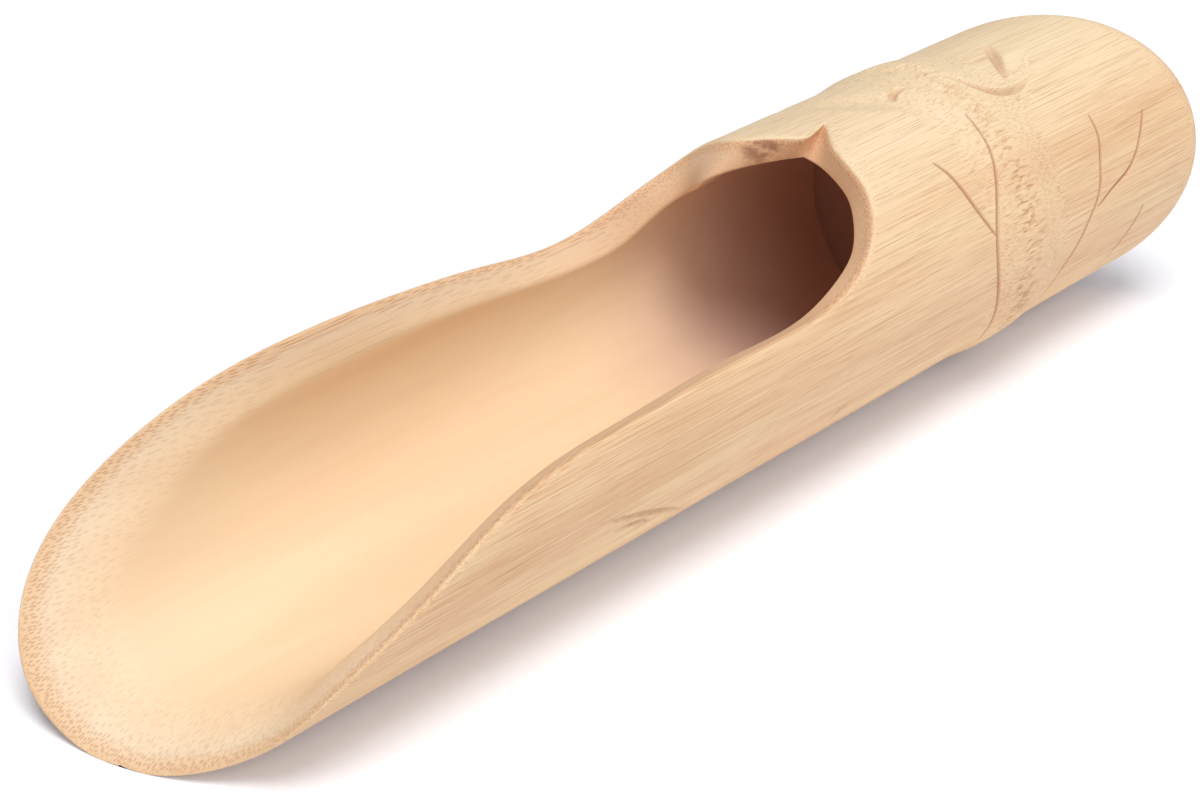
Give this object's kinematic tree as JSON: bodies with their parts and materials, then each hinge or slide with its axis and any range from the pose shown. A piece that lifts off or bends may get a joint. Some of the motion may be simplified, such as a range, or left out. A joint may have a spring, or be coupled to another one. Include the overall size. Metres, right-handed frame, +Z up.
{
  "type": "bamboo tea scoop",
  "caption": "Tea scoop carved from a length of bamboo culm: open rounded trough in front, ogee-arched mouth, short tube handle and stub behind the node ring.",
  "frame": {"origin": "middle of the footprint, on the surface the scoop rests on", "axes": "+X from the tip of the trough to the sawn rear end, +Y to the left, +Z up; the trough opens upwards"},
  "size_m": [0.1978, 0.046, 0.0455],
  "materials": {
    "bamboo_wall": "satin",
    "bamboo_diaphragm": "matte"
  },
  "bodies": {
    "root": {"culm_wall": "bamboo_wall", "node_diaphragm": "bamboo_diaphragm"}
  },
  "joints": []
}
